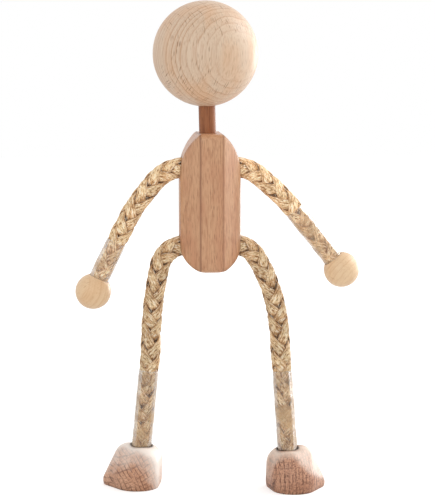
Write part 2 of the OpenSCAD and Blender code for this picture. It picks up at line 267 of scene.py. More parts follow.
def rayFlecks(add, look, log):
    # The dark flecks of the wood's rays: nearness to the middles of stretched cells in ray coordinates, for
    # a share of the cells, and none where a cell would lie flat on the face and show as a blot
    split = add("ShaderNodeSeparateXYZ", {0: log["place"]})
    turn = add("ShaderNodeMath", {0: split.outputs[1], 1: split.outputs[0]}, operation="ARCTAN2")
    around = add("ShaderNodeMath", {0: turn, 1: look["reach"]}, operation="MULTIPLY")
    ray = add("ShaderNodeCombineXYZ", {0: log["away"], 1: around, 2: split.outputs[2]})
    cells = add("ShaderNodeVectorMath", {0: ray, 1: [1 / x for x in look["fleck"]]}, operation="MULTIPLY")
    spindle = add("ShaderNodeTexVoronoi", {"Vector": cells, "Scale": 1.0})
    near = add("ShaderNodeMapRange", {
        "Value": spindle.outputs["Distance"], "From Min": 0.34, "From Max": 0.15})
    lot = add("ShaderNodeSeparateColor", {0: spindle.outputs["Color"]})
    drawn = add("ShaderNodeMapRange", {
        "Value": lot, "From Min": 1 - look["fleckShare"], "From Max": 1.0,
        "To Max": look["fleckFade"]})
    aside = add("ShaderNodeVectorMath", {0: (0.0, 0.0, 1.0), 1: log["outward"]}, operation="CROSS_PRODUCT")
    broad = add("ShaderNodeVectorMath", {
        0: aside, 1: log["facing"]}, operation="DOT_PRODUCT").outputs["Value"]
    broad = add("ShaderNodeMath", {0: broad}, operation="ABSOLUTE")
    thin = add("ShaderNodeMapRange", {
        "Value": broad, "From Min": 0.88, "From Max": 0.97, "To Min": 1.0, "To Max": 0.0})
    flecks = add("ShaderNodeMath", {0: near, 1: drawn}, operation="MULTIPLY")
    return add("ShaderNodeMath", {0: flecks, 1: thin}, operation="MULTIPLY")


def woodColour(add, look, log, rings, streak, flecks):
    # Pale wood with darker pools of slow noise, then late wood, streaks along the grain and ray flecks
    pools = add("ShaderNodeTexNoise", {"Vector": log["sway"], "Scale": 1.7, "Detail": 1.0})
    pooled = add("ShaderNodeMapRange", {"Value": pools, "From Min": 0.42, "From Max": 0.68, "To Max": 0.7})
    tinted = add("ShaderNodeMix", {
        0: pooled, 6: sRGB(look["pale"]), 7: sRGB(look["tint"])}, data_type="RGBA").outputs[2]
    late = add("ShaderNodeMix", {
        0: rings, 6: tinted, 7: sRGB(look["late"])}, data_type="RGBA").outputs[2]
    drawn = add("ShaderNodeMapRange", {
        "Value": streak, "From Min": 0.47, "From Max": 0.66, "To Max": look["streakFade"]})
    streaked = add("ShaderNodeMix", {
        0: drawn, 6: late, 7: sRGB(look["late"])}, data_type="RGBA").outputs[2]
    return add("ShaderNodeMix", {
        0: flecks, 6: streaked, 7: sRGB(look["dark"])}, data_type="RGBA").outputs[2]


def sawMarks(add, where, tilt, step, fade):
    # Parallel planes a step apart that lean on the front face, each deep only here and there
    sawn = add("ShaderNodeMapping", {
        "Vector": where, "Rotation": (0.0, radians(tilt), radians(sawLean)),
        "Scale": (mm * step,) * 3}, vector_type="TEXTURE")
    bend = add("ShaderNodeTexNoise", {"Vector": sawn, "Scale": 0.25, "Detail": 3.0})
    across = add("ShaderNodeSeparateXYZ", {0: sawn})
    steps = add("ShaderNodeMath", {0: bend, 1: sawBend, 2: across}, operation="MULTIPLY_ADD")
    fraction = add("ShaderNodeMath", {0: steps}, operation="FRACT")
    line = add("ShaderNodeValToRGB", {0: fraction}, stops=(
        (0.0, grey(0.6)), (0.10, grey(0.0)), (0.74, grey(0.0)), (0.90, grey(1.0)), (1.0, grey(0.6))))
    patchy = add("ShaderNodeTexNoise", {"Vector": sawn, "Scale": 0.5, "Detail": 3.0})
    here = add("ShaderNodeMapRange", {"Value": patchy, "From Min": 0.36, "From Max": 0.60, "To Max": fade})
    return add("ShaderNodeMath", {0: line, 1: here}, operation="MULTIPLY")


def endGrainAndPaintedHighlight(add, look, log, colour):
    # End grain soaks up dust and wax, so it is dark and gritty, and side grain is pale, and paler still as a
    # painted highlight: by the share of the normal that lies along the grain, and a little more end grain, so
    # darker, towards the sole
    along = add("ShaderNodeSeparateXYZ", {0: log["facing"]}).outputs[2]
    onEnd = add("ShaderNodeMath", {0: along}, operation="ABSOLUTE")
    rise = add("ShaderNodeSeparateXYZ", {0: log["where"]}).outputs[2]
    low = add("ShaderNodeMapRange", {
        "Value": rise, "From Min": 2 * mm, "From Max": 14 * mm, "To Min": 0.45, "To Max": 0.0})
    onEnd = add("ShaderNodeMath", {0: onEnd, 1: low}, operation="ADD")
    cloud = add("ShaderNodeTexNoise", {"Vector": log["where"], "Scale": 220.0, "Detail": 3.0})
    onEnd = add("ShaderNodeMath", {0: cloud, 1: 0.5, 2: onEnd}, operation="MULTIPLY_ADD")
    ended = add("ShaderNodeMapRange", {
        "Value": onEnd, "From Min": look["onset"], "From Max": look["onset"] + 0.7, "To Min": 0.06})
    dust = add("ShaderNodeTexNoise", {
        "Vector": log["where"], "Scale": 1000 / 0.9, "Detail": 2.0, "Roughness": 0.7})
    gritty = add("ShaderNodeMapRange", {
        "Value": dust, "From Min": 0.50, "From Max": 0.66, "To Max": look["grit"]})
    dusty = add("ShaderNodeMix", {
        0: gritty, 6: colour, 7: sRGB(look["dark"])}, data_type="RGBA").outputs[2]
    return add("ShaderNodeMix", {
        0: ended, 6: sRGB(look["side"]), 7: dusty}, data_type="RGBA").outputs[2]


def paintedBoreShade(add, look, log, colour):
    # Painted shade in the gap between the rope and the bore: dark up to a thin rim round it, by the distance
    # from the rope's line, and only above the bore's blind end
    limb = limbs[look["bore"]]
    tip, back = ropePoints(limb, limb["ends"][-1] - np.array([0.0, boreShade["back"]]), np.zeros(2), np.zeros(2))
    drill = (back - tip) / np.linalg.norm(back - tip)
    fromTip = add("ShaderNodeVectorMath", {0: log["where"], 1: (tip * mm).tolist()}, operation="SUBTRACT")
    crossed = add("ShaderNodeVectorMath", {0: fromTip, 1: drill.tolist()}, operation="CROSS_PRODUCT")
    toAxis = add("ShaderNodeVectorMath", {0: crossed}, operation="LENGTH").outputs["Value"]
    gapShade = add("ShaderNodeMapRange", {
        "Value": toAxis, "From Min": boreShade["outer"] * mm, "From Max": boreShade["inner"] * mm,
        "To Max": boreShade["fade"]})
    rise = add("ShaderNodeSeparateXYZ", {0: log["where"]}).outputs[2]
    drilled = add("ShaderNodeMapRange", {
        "Value": rise, "From Min": boreShade["floor"] * mm, "From Max": boreShade["clear"] * mm})
    gapShade = add("ShaderNodeMath", {0: gapShade, 1: drilled}, operation="MULTIPLY")
    return add("ShaderNodeMix", {
        0: gapShade, 6: colour, 7: sRGB(boreShade["colour"])}, data_type="RGBA").outputs[2]


def darkArrisLines(add, look, log, colour):
    # A thin dark line along each of the bar's two front arrises, at their distance from the middle
    middle, reach, fadeRight, fadeLeft = look["arris"]
    x = add("ShaderNodeSeparateXYZ", {0: log["where"]})
    offset = add("ShaderNodeMath", {0: x, 1: middle * mm}, operation="SUBTRACT")
    fade = add("ShaderNodeMapRange", {
        "Value": offset, "From Min": -5 * mm, "From Max": 5 * mm,
        "To Min": fadeRight, "To Max": fadeLeft})
    offset = add("ShaderNodeMath", {0: offset}, operation="ABSOLUTE")
    gap = add("ShaderNodeMath", {0: offset, 1: reach * mm}, operation="SUBTRACT")
    gap = add("ShaderNodeMath", {0: gap}, operation="ABSOLUTE")
    arrisLine = add("ShaderNodeMapRange", {
        "Value": gap, "From Min": 0.65 * mm, "From Max": 0.1 * mm, "To Max": fade})
    return add("ShaderNodeMix", {
        0: arrisLine, 6: colour, 7: sRGB(look["dark"])}, data_type="RGBA").outputs[2]


def makeWood(name):
    look = woodLooks[name]
    material, add = startMaterial(name)
    log = readLog(add, look)
    streak = add("ShaderNodeTexNoise", {
        "Vector": log["grain"], "Scale": 1.0, "Detail": 3.0, "Roughness": 0.6})
    flecks = rayFlecks(add, look, log)
    colour = woodColour(add, look, log, annualRings(add, look, log), streak, flecks)
    height = add("ShaderNodeMath", {0: streak, 1: flecks}, operation="SUBTRACT")
    for tilt, step, fade in look.get("saws", ()):
        marks = sawMarks(add, log["where"], tilt, step, fade)
        colour = add("ShaderNodeMix", {
            0: marks, 6: colour, 7: sRGB(look["dark"])}, data_type="RGBA").outputs[2]
        height = add("ShaderNodeMath", {0: height, 1: marks}, operation="SUBTRACT")
    # Dark end grain and pale side grain, whose near-white side colour is also a painted highlight
    if "side" in look:
        colour = endGrainAndPaintedHighlight(add, look, log, colour)
    # Painted shade in the gap round the rope in its bore
    if "bore" in look:
        colour = paintedBoreShade(add, look, log, colour)
    # Thin dark lines along the front arrises
    if "arris" in look:
        colour = darkArrisLines(add, look, log, colour)
    relief = {"Strength": 0.25, "Distance": 0.08 * mm, "Height": height}
    if "bevel" in look:
        relief["Normal"] = log["soft"]
    bump = add("ShaderNodeBump", relief)
    dull = add("ShaderNodeMapRange", {
        "Value": streak, "To Min": look["roughness"] - 0.06, "To Max": look["roughness"] + 0.1})
    body = add("ShaderNodeBsdfPrincipled", {
        "Base Color": colour, "Roughness": dull, "Normal": bump, "IOR": 1.5, "Specular IOR Level": 0.35,
        "Coat Weight": look["wax"], "Coat Roughness": look["waxRoughness"], "Coat Normal": bump})
    add("ShaderNodeOutputMaterial", {0: body})
    return material


# The braided rope. Unbleached coarse cotton in flat, loosely spun strands: dry and matt, with fine fibre
# lines along them. Its ground runs from gap to crown with the depth in the braid: painted shade in the gaps
# and at the strands' edges, and a painted highlight on the crowns.
ropeLook = {
    "gap": "#3f260f", "edge": "#845c38", "side": "#b68a5c", "body": "#d3aa7c", "crown": "#e6c89c",
    "line": "#8f5f38", "light": "#fdf0d8", "speck": "#55331a", "sheen": "#f3e3c4", "roughness": 0.78,
}


def makeRope(name):
    look = ropeLook
    material, add = startMaterial(name)
    # Millimetres along and across the strand
    uv = add("ShaderNodeUVMap", uv_map="alongYarn")
    depth = add("ShaderNodeAttribute", attribute_name="depth").outputs["Fac"]
    tone = add("ShaderNodeAttribute", attribute_name="tone").outputs["Fac"]
    where = add("ShaderNodeTexCoord").outputs["Object"]
    fine = add("ShaderNodeMapping", {"Vector": uv, "Scale": (0.42, 2.4, 1.0)})
    fibre = add("ShaderNodeTexNoise", {
        "Vector": fine, "Scale": 1.0, "Detail": 4.0, "Roughness": 0.7, "Distortion": 0.3})
    dots = add("ShaderNodeMapping", {"Vector": uv, "Scale": (1.1, 2.6, 1.0)})
    grit = add("ShaderNodeTexNoise", {"Vector": dots, "Scale": 1.0, "Detail": 2.0})
    # Noise that deepens or lifts the painted shade here and there
    seams = add("ShaderNodeTexNoise", {"Vector": where, "Scale": 260.0, "Detail": 2.0})
    seamed = add("ShaderNodeMapRange", {
        "Value": seams, "From Min": 0.35, "From Max": 0.65, "To Min": -0.34, "To Max": 0.26})
    deep = add("ShaderNodeMath", {0: depth, 1: seamed}, operation="ADD")
    # The ground: painted shade in the gaps and at the strands' edges, up to a painted highlight on the crown
    ground = add("ShaderNodeValToRGB", {0: deep}, stops=(
        (0.0, sRGB(look["gap"])), (0.20, sRGB(look["edge"])), (0.40, sRGB(look["side"])),
        (0.64, sRGB(look["body"])), (1.0, sRGB(look["crown"]))))
    darkFibre = add("ShaderNodeMapRange", {
        "Value": fibre, "From Min": 0.51, "From Max": 0.62, "To Max": 0.95})
    lined = add("ShaderNodeMix", {
        0: darkFibre, 6: ground, 7: sRGB(look["line"])}, data_type="RGBA").outputs[2]
    # Pale fibre streaks, near white: partly real pale fibres, partly painted glints
    lightFibre = add("ShaderNodeMapRange", {
        "Value": fibre, "From Min": 0.47, "From Max": 0.37, "To Max": 0.9})
    lit = add("ShaderNodeMix", {
        0: lightFibre, 6: lined, 7: sRGB(look["light"])}, data_type="RGBA").outputs[2]
    specks = add("ShaderNodeMapRange", {"Value": grit, "From Min": 0.57, "From Max": 0.65, "To Max": 0.55})
    dotted = add("ShaderNodeMix", {
        0: specks, 6: lit, 7: sRGB(look["speck"])}, data_type="RGBA").outputs[2]
    value = add("ShaderNodeMapRange", {"Value": tone, "From Max": 2.5, "To Min": 0.86, "To Max": 1.5})
    shaded = add("ShaderNodeHueSaturation", {"Value": value, "Color": dotted})
    bump = add("ShaderNodeBump", {"Strength": 0.8, "Distance": 0.28 * mm, "Height": fibre})
    body = add("ShaderNodeBsdfPrincipled", {
        "Base Color": shaded, "Roughness": look["roughness"], "Normal": bump,
        "Specular IOR Level": 0.25, "Sheen Weight": 0.2, "Sheen Roughness": 0.5,
        "Sheen Tint": sRGB(look["sheen"])})
    add("ShaderNodeOutputMaterial", {0: body})
    return material


def makeFilm(name):
    # Clear shrink film, thin polyolefin: colourless and glossy, so glare at grazing angles and the lamps'
    # long streaks show it, and a milky patch wherever it stands off the rope
    material, add = startMaterial(name)
    where = add("ShaderNodeTexCoord").outputs["Object"]
    ripple = add("ShaderNodeTexNoise", {"Vector": where, "Scale": 300.0, "Detail": 1.0})
    bump = add("ShaderNodeBump", {"Strength": 0.4, "Distance": 0.3 * mm, "Height": ripple})
    rim = add("ShaderNodeFresnel", {"IOR": 1.45, "Normal": bump})
    share = add("ShaderNodeMapRange", {
        "Value": rim, "From Min": 0.03, "From Max": 1.0, "To Min": 0.035, "To Max": 0.5})
    lifted = add("ShaderNodeTexNoise", {"Vector": where, "Scale": 140.0, "Detail": 1.0})
    cloudy = add("ShaderNodeMapRange", {
        "Value": lifted, "From Min": 0.42, "From Max": 0.68, "To Max": 0.35})
    fromLip = add("ShaderNodeAttribute", attribute_name="fromLip").outputs["Fac"]
    settled = add("ShaderNodeMapRange", {"Value": fromLip, "From Max": 12.0})
    cloudy = add("ShaderNodeMath", {0: cloudy, 1: settled}, operation="MULTIPLY")
    clear = add("ShaderNodeBsdfTransparent", {"Color": grey(1.0)})
    shine = add("ShaderNodeBsdfGlossy", {"Color": grey(1.0), "Roughness": 0.22, "Normal": bump})
    milk = add("ShaderNodeBsdfDiffuse", {"Color": sRGB("#e6c496")})
    hazed = add("ShaderNodeMixShader", {0: cloudy, 1: clear, 2: milk})
    both = add("ShaderNodeMixShader", {0: share, 1: hazed, 2: shine})
    add("ShaderNodeOutputMaterial", {0: both})
    return material


def makeWire(name):
    # Galvanised soft iron wire, drawn: grey and metallic, with fine dull specks
    material, add = startMaterial(name)
    where = add("ShaderNodeTexCoord").outputs["Object"]
    specks = add("ShaderNodeTexNoise", {"Vector": where, "Scale": 900.0, "Detail": 2.0})
    dull = add("ShaderNodeMapRange", {"Value": specks, "To Min": 0.28, "To Max": 0.5})
    tint = add("ShaderNodeMix", {
        0: specks, 6: sRGB("#9da0a2"), 7: sRGB("#c4c6c7")}, data_type="RGBA").outputs[2]
    body = add("ShaderNodeBsdfPrincipled", {"Base Color": tint, "Metallic": 1.0, "Roughness": dull})
    add("ShaderNodeOutputMaterial", {0: body})
    return material


def gridCorners(rows, columns):
    # Corners of the quads between neighbouring rows and columns, as row and column numbers before wrapping
    row, column = np.meshgrid(np.arange(rows - 1), np.arange(columns), indexing="ij")
    row = row.reshape(-1, 1) + np.array([0, 0, 1, 1])
    column = column.reshape(-1, 1) + np.array([0, 1, 1, 0])
    return row, column


def tubeFaces(rows, columns):
    # Quads of a tube of closed rings, and its two end caps as polygons of one ring each
    row, column = gridCorners(rows, columns)
    ring = np.arange(columns)
    return row * columns + column % columns, np.stack([ring[::-1], (rows - 1) * columns + ring])


def facedOutward(points, faceSets, *cornerValues):
    # Closed faces, and values at their corners, in reverse order where the faces point inward. The volume's
    # sign shows that: the triple products of each face's triangles are added up
    volume = 0.0
    for faces in faceSets:
        for i in range(1, faces.shape[1] - 1):
            a, b, c = (points[faces[:, k]] for k in (0, i, i + 1))
            volume += np.sum(np.cross(a, b) * c)
    way = -1 if volume < 0 else 1
    return [values[:, ::way] for values in (*faceSets, *cornerValues)]


def makePiece(name, points, faceSets, material, uv=None, attributes=()):
    # A mesh from whole arrays: points in millimetres, and faces as rows of corners
    mesh = bpy.data.meshes.new(name)
    corners = np.concatenate([np.ravel(faces) for faces in faceSets])
    sizes = np.concatenate([np.full(len(faces), faces.shape[1]) for faces in faceSets])
    mesh.vertices.add(len(points))
    mesh.vertices.foreach_set("co", (np.asarray(points) * mm).astype(np.float32).ravel())
    mesh.loops.add(len(corners))
    mesh.loops.foreach_set("vertex_index", corners.astype(np.int32))
    mesh.polygons.add(len(sizes))
    mesh.polygons.foreach_set("loop_start", (np.cumsum(sizes) - sizes).astype(np.int32))
    mesh.polygons.foreach_set("use_smooth", np.ones(len(sizes), bool))
    mesh.update(calc_edges=True)
    if uv is not None:
        layer = mesh.uv_layers.new(name=uv[0])
        layer.data.foreach_set("uv", uv[1].astype(np.float32).ravel())
    for key, values in dict(attributes).items():
        attribute = mesh.attributes.new(key, "FLOAT", "POINT")
        attribute.data.foreach_set("value", values.astype(np.float32).ravel())
    mesh.validate()
    mesh.materials.append(material)
    piece = bpy.data.objects.new(name, mesh)
    bpy.context.scene.collection.objects.link(piece)
    return piece


def limbLine(limb):
    # The limb's centreline from the torso's middle: the heading grows evenly along each bend, and the line
    # is the running sum of short steps along the heading, taken at each step's middle
    step = 0.05
    lengths = np.array([doll["boreEnd"]] + [length for length, turn in limb["stretches"]])
    turns = np.array([0.0] + [turn for length, turn in limb["stretches"]])
    ends = np.concatenate([[0.0], np.cumsum(lengths)])
    headings = np.concatenate([[0.0], np.cumsum(turns)])
    along = np.linspace(0, ends[-1], int(ends[-1] / step) + 1)
    middle = np.radians(np.interp((along[1:] + along[:-1]) / 2, ends, headings))
    travel = np.diff(along)
    across = np.concatenate([[0.0], np.cumsum(np.cos(middle) * travel)])
    down = np.concatenate([[0.0], np.cumsum(np.sin(middle) * travel)])
    limb["ends"] = ends
    limb["line"] = (along, across, down, np.radians(np.interp(along, ends, headings)))


def ropePoints(limb, along, angle, radius):
    # From rope coordinates to the doll's: the centreline's point, plus radius times the angle's cosine
    # along the limb's own upward normal, plus radius times its sine along the normal of the limb's plane
    line, across, down, heading = limb["line"]
    x = np.interp(along, line, across) + np.minimum(along, 0)
    z = np.interp(along, line, down)
    h = np.interp(along, line, heading)
    over = np.maximum(along - line[-1], 0)
    x = x + over * np.cos(h) + radius * np.cos(angle) * np.sin(h)
    z = -z - over * np.sin(h) + radius * np.cos(angle) * np.cos(h)
    y = radius * np.sin(angle)
    swing = radians(limb["swing"])
    return np.stack([
        doll["torsoX"] + limb["out"] * x,
        y * cos(swing) - z * sin(swing),
        limb["z"] + z * cos(swing) + y * sin(swing),
    ], -1)


# Eight flat strands, four each way round, over two and under two, so that their floats lie in four columns
# of leaves along the rope. Sizes in millimetres. crisp is how suddenly a strand dives under the next. limit
# is the radius that they bend over to stay under, and press is how far before the film's lip they start to
# flatten and how long that takes. drift, wobble, stray, bow and shade are slow waves along the rope, each
# as its height and its length, of the pitch, the strand's size, its radius, its angle and its tone.
braid = {
    "pitch": 37.0, "each": 4, "midRadius": 3.58, "wave": 0.62, "crisp": 2.2, "halfWidth": 2.5,
    "halfThick": 0.8, "yarnWidth": 1.15, "yarnDepth": 0.10, "yarnTurn": 15.0, "step": 0.42, "corners": 28,
    "seed": 7, "limit": 5.05, "filmLimit": 4.58, "sharpness": 6.0, "filmWave": 0.45, "press": (4.5, 5.0),
    "drift": ((0.55, 27.0), (0.3, 11.3)), "wobble": ((1.0, 13.7), (0.8, 8.3)), "stray": ((0.10, 37.0),),
    "bow": ((0.06, 17.1), (0.2, 71.0)), "shade": ((0.3, 23.0), (0.25, 9.1)),
    "uvStretch": 1.17, "uvRadius": 1.75, "uvSteps": (41, 7.3), "capUv": 3.0,
    "coreRadius": 3.0, "coreCorners": 16, "coreTone": 0.5, "leastRadius": 2.5,
    # How far wobble changes the wave, the width and the thickness, and lift the width
    "wobbleWave": 0.15, "wobbleWidth": 0.04, "wobbleThick": 0.06, "liftWidth": 0.05,
    # Powers of the oval's two waves, then what the depth in the braid and the tone are made of
    "oval": (0.8, 0.7), "edgePower": 5, "gapRadius": 3.3, "depthShares": (0.66, 0.34), "ridgeShade": 0.04,
    # Painted light: how much paler the tone is under the film, against the shade that the film casts
    "underFilmLight": 0.1,
}


def softLimit(values, limit, sharpness):
    # Values that bend smoothly over to stay under the limit: the limit minus the softplus of the rest
    return limit - np.logaddexp(0, (limit - values) * sharpness) / sharpness


def flatten(wave, power):
    # A sine or cosine raised to a power below 1 with its sign kept, which squares an oval's corners
    return np.sign(wave) * np.abs(wave) ** power


def slowWaves(s, sizes, phases):
    # The sum of sines along the rope, each with its height, its length and its phase
    return sum(height * np.sin(2 * pi * s / length + phase) for (height, length), phase in zip(sizes, phases))


def strandPart(limb, start, stop, number):
    # One strand is a path round the rope: its angle grows with the length over the pitch, one way or the
    # other, and its radius follows the hyperbolic tangent of the cosine of twice that angle, so it floats
    # in two of the four quarters round the rope and the strands of the other way float in the other two.
    # Slow sines make the pitch uneven, and a smooth step flattens the strands before the film
    way = 1 if number < braid["each"] else -1
    phase = np.random.default_rng(braid["seed"] + number).uniform(0, 2 * pi, 6)
    rows = max(2, int((stop - start) / braid["step"]) + 1)
    columns = braid["corners"]
    s = np.linspace(start, stop, rows)[:, None]
    phi = np.linspace(0, 2 * pi, columns, endpoint=False)[None, :]
    lip = limb["ends"][-1] - limb["film"]
    before, length = braid["press"]
    pressed = np.clip((s - lip + before) / length, 0, 1)
    pressed = pressed ** 2 * (3 - 2 * pressed)
    uneven = s + slowWaves(s, braid["drift"], (1.0, 0.0))
    wobble = slowWaves(s, braid["wobble"], phase[0:2])
    path = number % braid["each"] * 2 * pi / braid["each"] + way * 2 * pi * uneven / braid["pitch"]
    lift = way * np.tanh(braid["crisp"] * np.cos(2 * path - pi / 4))
    wave = braid["wave"] * (1 + braid["wobbleWave"] * wobble)
    pressedWave = wave * (1 - pressed * (1 - braid["filmWave"]))
    radius = braid["midRadius"] + pressedWave * lift + slowWaves(s, braid["stray"], phase[2:3])
    path = path + pi / 8 + slowWaves(s, braid["bow"], (phase[3], 0.0))
    lean = np.arctan(2 * pi * braid["midRadius"] / braid["pitch"]) * way
    # The section is a squared oval with yarn ridges on its face, laid across the path and kept to the
    # rope's round form: u runs across the strand and t stands on it
    across, up = braid["oval"]
    u = braid["halfWidth"] * (1 + braid["liftWidth"] * lift + braid["wobbleWidth"] * wobble)
    u = u * flatten(np.cos(phi), across)
    ridges = np.cos(2 * pi * (u / braid["yarnWidth"] + way * s / braid["yarnTurn"]))
    t = braid["halfThick"] * (1 + braid["wobbleThick"] * wobble) * flatten(np.sin(phi), up)
    t = t + braid["yarnDepth"] * ridges * np.clip(np.sin(phi), 0, 1)
    limit = braid["limit"] - pressed * (braid["limit"] - braid["filmLimit"])
    r = softLimit(radius + t, limit, braid["sharpness"])
    angle = path + np.cos(lean) * u / np.maximum(radius, braid["leastRadius"])
    points = ropePoints(limb, s - np.sin(lean) * u, angle, r).reshape(-1, 3)
    # depth is 0 in the gaps and at a strand's edges and 1 on its crown, and tone is its paleness. The rope's
    # colour turns depth into painted shade and a painted highlight
    inside = 1 - np.abs(np.cos(phi)) ** braid["edgePower"]
    low = np.clip(braid["midRadius"] + wave * lift + t - braid["gapRadius"], 0, 1)
    least, more = braid["depthShares"]
    depth = np.clip(low * inside * (least + more * lift) + braid["ridgeShade"] * ridges, 0, 1)
    # Painted light pales the tone under the film, against the film's shade
    tone = limb["tone"] + slowWaves(s, braid["shade"], phase[4:6]) + braid["underFilmLight"] * pressed
    quads, caps = tubeFaces(rows, columns)
    row, column = gridCorners(rows, columns)
    uv = np.stack([
        s[:, 0][row] * braid["uvStretch"] + braid["uvSteps"][0] * number,
        column / columns * 2 * pi * braid["uvRadius"] + braid["uvSteps"][1] * number,
    ], -1)
    quads, caps, uv = facedOutward(points, [quads, caps], uv)
    return {"points": points, "quads": quads, "caps": caps, "uv": uv.reshape(-1, 2), "capUv": braid["capUv"],
            "depth": depth.ravel(), "tone": np.broadcast_to(tone, depth.shape).ravel()}


def tubeArrays(limb, start, stop, radius, columns):
    # A plain round tube on the limb's centreline, with its end rings as caps
    step = 1.5
    rows = max(2, int((stop - start) / step) + 1)
    s = np.linspace(start, stop, rows)[:, None]
    phi = np.linspace(0, 2 * pi, columns, endpoint=False)[None, :]
    points = ropePoints(limb, s, phi, radius).reshape(-1, 3)
    return points, *facedOutward(points, tubeFaces(rows, columns))


def corePart(limb, start, stop):
    # A plain core that closes the small gaps between the strands, coloured dark as their painted shade
    points, quads, caps = tubeArrays(limb, start, stop, braid["coreRadius"], braid["coreCorners"])
    return {"points": points, "quads": quads, "caps": caps, "uv": np.zeros((quads.size, 2)), "capUv": 0.0,
            "depth": np.zeros(len(points)), "tone": np.full(len(points), braid["coreTone"])}


# Loose fibres on the rope: how many to a millimetre, the ranges that their lengths, slants, heights and
# curves are drawn from, and how far they keep from the torso and the film. bow is how far a fibre sways
# aside, in a wave of bowTurn radians. Sizes in millimetres.
fibres = {
    "perMm": 2.2, "radius": 0.06, "length": (1.5, 5.5), "slant": (-1.2, 1.2), "height": (0.25, 1.0),
    # A depth of 0.95 gives the fibres nearly the crown's colour, its painted highlight
    "curve": (1.1, 2.4), "tone": (0.4, 1.3), "depth": 0.95, "rows": 6, "corners": 3, "taper": 0.6,
    "heightPower": 1.5, "bow": 0.25, "bowTurn": 3.0, "root": 4.4, "turnRadius": 5.0, "fromTorso": 4.5,
    "fromLip": 2.0,
}


def fibrePart(limb, start, stop, name):
    # Loose fibres: each leaves the rope at a point, runs a few millimetres at its own slant and rises by a
    # power of its length, as a three-sided tube that narrows to its tip, with rings across its way
    low = max(start, doll["boreEnd"] + fibres["fromTorso"])
    high = max(low, min(stop, limb["ends"][-1] - limb["film"]) - fibres["fromLip"])
    count = int((high - low) * fibres["perMm"])
    rows, corners = fibres["rows"], fibres["corners"]
    rng = np.random.default_rng(sum(map(ord, name)))
    at, angle, length, slant, height, power = np.array([
        rng.uniform(low, high, count),
        rng.uniform(0, 2 * pi, count),
        rng.uniform(*fibres["length"], count),
        rng.uniform(*fibres["slant"], count) + pi * rng.integers(0, 2, count),
        rng.uniform(*fibres["height"], count) ** fibres["heightPower"],
        rng.uniform(*fibres["curve"], count),
    ])[:, :, None, None]
    t = np.linspace(0, 1, rows)[None, :, None]
    corner = (np.arange(corners) * 2 * pi / corners)[None, None, :]
    thick = fibres["radius"] * (1 - fibres["taper"] * t)
    bow = fibres["bow"] * np.sin(fibres["bowTurn"] * t + angle)
    along = at + length * t * np.cos(slant) - thick * np.cos(corner) * np.sin(slant)
    aside = length * t * np.sin(slant) + bow + thick * np.cos(corner) * np.cos(slant)
    r = fibres["root"] + height * t ** power + thick * np.sin(corner)
    points = ropePoints(limb, along, angle + aside / fibres["turnRadius"], r).reshape(-1, 3)
    sides, rings = tubeFaces(rows, corners)
    firsts = (np.arange(count) * rows * corners)[:, None, None]
    quads = (sides[None] + firsts).reshape(-1, 4)
    caps = (rings[None] + firsts).reshape(-1, corners)
    quads, caps = facedOutward(points, [quads, caps])
    return {"points": points, "quads": quads, "caps": caps, "uv": np.ones((quads.size, 2)), "capUv": 0.0,
            "depth": np.full(len(points), fibres["depth"]),
            "tone": np.repeat(rng.uniform(*fibres["tone"], count), rows * corners)}


def makeBraid(name, limb, start, stop):
    # One stretch of rope as one mesh: its strands, its core and its loose fibres
    parts = [strandPart(limb, start, stop, number) for number in range(2 * braid["each"])]
    parts += [corePart(limb, start, stop), fibrePart(limb, start, stop, name)]
    firsts = np.cumsum([0] + [len(part["points"]) for part in parts])
    quads = np.concatenate([part["quads"] + first for part, first in zip(parts, firsts)])
    caps = [part["caps"] + first for part, first in zip(parts, firsts)]
    uvs = [part["uv"] for part in parts] + [np.full((part["caps"].size, 2), part["capUv"]) for part in parts]
    return makePiece(
        name, np.concatenate([part["points"] for part in parts]), [quads] + caps, materials["rope"],
        ("alongYarn", np.concatenate(uvs)),
        {key: np.concatenate([part[key] for part in parts]) for key in ("depth", "tone")})


wire = {"radius": 0.8, "corners": 12}  # the soft core inside the rope, in millimetres


def makeCoreWire(name, limb, start, stop):
    points, quads, caps = tubeArrays(limb, start, stop, wire["radius"], wire["corners"])
    return makePiece(name, points, [quads, caps], materials["wire"])


# The shrink film, in millimetres. Its wall follows the braid a little and is tucked in near its lip.
# puckers are waves left by the shrinking: height in ripples, waves round the film, radians a millimetre.
film = {"inner": 4.69, "wall": 0.12, "endShare": 0.6, "tuck": 0.10, "tuckLength": 1.2, "ripple": 0.05,
        "step": 0.6, "corners": 72, "puckers": ((0.5, 5, 1 / 6), (0.4, 2, 1.1))}


def makeSleeve(name, limb):
    # A closed wall: the outer face goes out along the rope and the inner face comes back, both as circles
    # whose radius has small ripples from the braid below and from the shrinking
    stop = limb["ends"][-1]
    start = stop - limb["film"]
    rows = int(limb["film"] / film["step"])
    columns = film["corners"]
    s = np.linspace(start, stop, rows)
    phi = np.linspace(0, 2 * pi, columns, endpoint=False)[None, :]
    along = np.concatenate([s, s[::-1]])[:, None]
    wall = np.concatenate([np.full(rows, film["wall"]), np.zeros(rows)])[:, None]
    wall[[0, rows - 1]] *= film["endShare"]
    wall = wall - film["tuck"] * np.exp((start - along) / film["tuckLength"])
    turned = 2 * pi * along / braid["pitch"]
    ripple = np.cos(braid["each"] * turned) * np.cos(braid["each"] * (phi - turned))
    for height, around, rate in film["puckers"]:
        ripple = ripple + height * np.sin(around * phi + rate * along)
    radius = film["inner"] + wall + film["ripple"] * np.minimum(ripple, 1)
    points = ropePoints(limb, along, phi, radius).reshape(-1, 3)
    row, column = gridCorners(2 * rows + 1, columns)
    faceSets = facedOutward(points, [row % (2 * rows) * columns + column % columns])
    fromLip = np.broadcast_to(along - start, radius.shape)
    return makePiece(name, points, faceSets, materials["film"], attributes={"fromLip": fromLip})


for limb in limbs.values():
    limbLine(limb)

